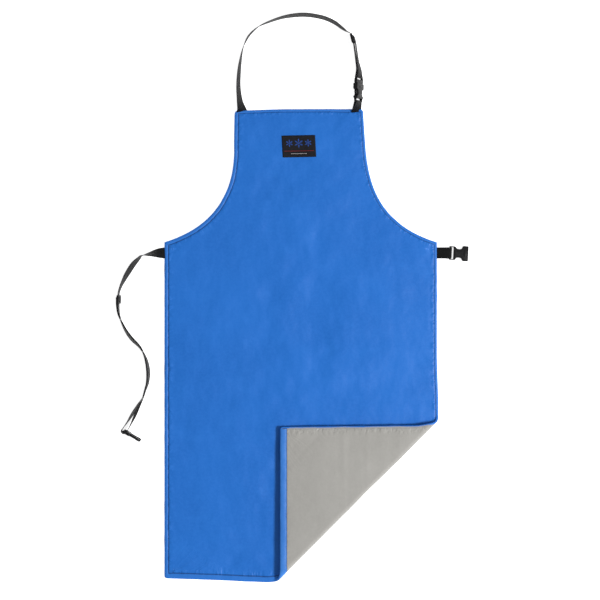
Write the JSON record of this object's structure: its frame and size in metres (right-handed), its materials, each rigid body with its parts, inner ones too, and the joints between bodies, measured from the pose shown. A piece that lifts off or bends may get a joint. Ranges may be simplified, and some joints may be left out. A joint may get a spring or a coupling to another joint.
{
  "type": "cryogenic apron",
  "caption": "Padded bib apron lying face up with one lower corner folded over, with a webbing neck loop, waist straps, side-release buckles and sliders.",
  "frame": {"origin": "middle of the body's rest face: on the centreline, half way between bib and hem, on the underside of the lining", "axes": "+X towards the right as seen from the front, +Y towards the bib, +Z out of the front of the apron"},
  "size_m": [0.7869, 1.2684, 0.0353],
  "materials": {
    "shell_cloth": "satin woven nylon",
    "barrier_film": "thin film",
    "insulation": "fibre batt",
    "lining_cloth": "plain woven nylon",
    "label_weave": "damask woven label",
    "webbing": "ribbed polypropylene webbing",
    "moulded_plastic": "moulded acetal"
  },
  "bodies": {
    "apron": {"outer_shell": "shell_cloth", "moisture_barrier": "barrier_film", "insulation_core": "insulation", "lining": "lining_cloth", "hem_facing": "shell_cloth", "label": "label_weave"},
    "fold": {"bend_shell": "shell_cloth", "bend_barrier": "barrier_film", "bend_core": "insulation", "bend_lining": "lining_cloth", "bend_hem_facing": "shell_cloth"},
    "corner": {"corner_shell": "shell_cloth", "corner_barrier": "barrier_film", "corner_core": "insulation", "corner_lining": "lining_cloth", "corner_hem_facing": "shell_cloth"},
    "neck_loop": {"neck_tab": "webbing", "neck_socket": "moulded_plastic", "neck_strap": "webbing"},
    "neck_plug": {"neck_plug_frame": "moulded_plastic", "neck_strap_tail": "webbing"},
    "neck_arm_left": {"neck_plug_arm_left": "moulded_plastic"},
    "neck_arm_right": {"neck_plug_arm_right": "moulded_plastic"},
    "neck_slider": {"neck_slider": "moulded_plastic"},
    "waist_tab": {"waist_tab": "webbing"},
    "waist_socket": {"waist_socket": "moulded_plastic"},
    "waist_strap": {"waist_strap": "webbing", "waist_strap_tail": "webbing"},
    "waist_plug": {"waist_plug_frame": "moulded_plastic"},
    "waist_arm_left": {"waist_plug_arm_left": "moulded_plastic"},
    "waist_arm_right": {"waist_plug_arm_right": "moulded_plastic"},
    "waist_slider": {"waist_slider": "moulded_plastic"}
  },
  "joints": [
    {"name": "corner_unfold_lower", "type": "hinge", "parent": "apron", "child": "fold", "pos_m": [0.2355, -0.2355, 0.00443], "axis": [0.7071, 0.7071, 0], "range_deg": [0, 90]},
    {"name": "corner_unfold_upper", "type": "hinge", "parent": "fold", "child": "corner", "pos_m": [0.2355, -0.2355, 0.01857], "axis": [0.7071, 0.7071, 0], "range_deg": [0, 90]},
    {"name": "neck_loop_swing", "type": "hinge", "parent": "apron", "child": "neck_loop", "pos_m": [0, 0.5275, 0.0025], "axis": [1, 0, 0], "range_deg": [0, 100], "deforming": ["neck_strap", "neck_tab"]},
    {"name": "neck_buckle_release", "type": "slide", "parent": "neck_loop", "child": "neck_plug", "axis": [0.0427, 0.9991, 0], "range_m": [0, 0.032], "deforming": ["neck_strap", "neck_strap_tail", "neck_plug_arm_left", "neck_plug_arm_right"]},
    {"name": "neck_arm_left_squeeze", "type": "hinge", "parent": "neck_plug", "child": "neck_arm_left", "pos_m": [0.12434, 0.5822, 0.02665], "axis": [0.8821, -0.0377, 0.4695], "range_deg": [0, 5]},
    {"name": "neck_arm_right_squeeze", "type": "hinge", "parent": "neck_plug", "child": "neck_arm_right", "pos_m": [0.13373, 0.5818, 0.00899], "axis": [-0.8821, 0.0377, -0.4695], "range_deg": [0, 5]},
    {"name": "neck_length_adjust", "type": "slide", "parent": "neck_plug", "child": "neck_slider", "axis": [0.2348, -0.9721, 0], "range_m": [0, 0.006], "deforming": ["neck_strap", "neck_strap_tail"]},
    {"name": "waist_tab_swing", "type": "hinge", "parent": "apron", "child": "waist_tab", "pos_m": [0.305, 0.2055, 0.0025], "axis": [0, -1, 0], "range_deg": [0, 120], "deforming": ["waist_tab"]},
    {"name": "waist_socket_pivot", "type": "hinge", "parent": "waist_tab", "child": "waist_socket", "pos_m": [0.3341, 0.20536, 0.00525], "axis": [-0.0523, -0.9986, 0], "range_deg": [0, 80]},
    {"name": "waist_strap_swing", "type": "hinge", "parent": "apron", "child": "waist_strap", "pos_m": [-0.305, 0.2055, 0.0025], "axis": [0, 1, 0], "range_deg": [0, 100], "deforming": ["waist_strap"]},
    {"name": "waist_length_adjust", "type": "slide", "parent": "waist_strap", "child": "waist_slider", "axis": [-0.0053, -1, 0], "range_m": [0, 0.01], "deforming": ["waist_strap", "waist_strap_tail"]},
    {"name": "waist_plug_swivel", "type": "hinge", "parent": "waist_strap", "child": "waist_plug", "pos_m": [-0.39369, -0.1917, 0.0161], "axis": [0, 0, 1], "range_deg": [-130, 6]},
    {"name": "waist_arm_left_squeeze", "type": "hinge", "parent": "waist_plug", "child": "waist_arm_left", "pos_m": [-0.37964, -0.20015, 0.0061], "axis": [-0.515, -0.8572, 0], "range_deg": [0, 5]},
    {"name": "waist_arm_right_squeeze", "type": "hinge", "parent": "waist_plug", "child": "waist_arm_right", "pos_m": [-0.37964, -0.20015, 0.0261], "axis": [0.515, 0.8572, 0], "range_deg": [0, 5]}
  ],
  "couplings": [
    {"joint": "corner_unfold_upper", "follows": "corner_unfold_lower", "ratio": 1}
  ]
}
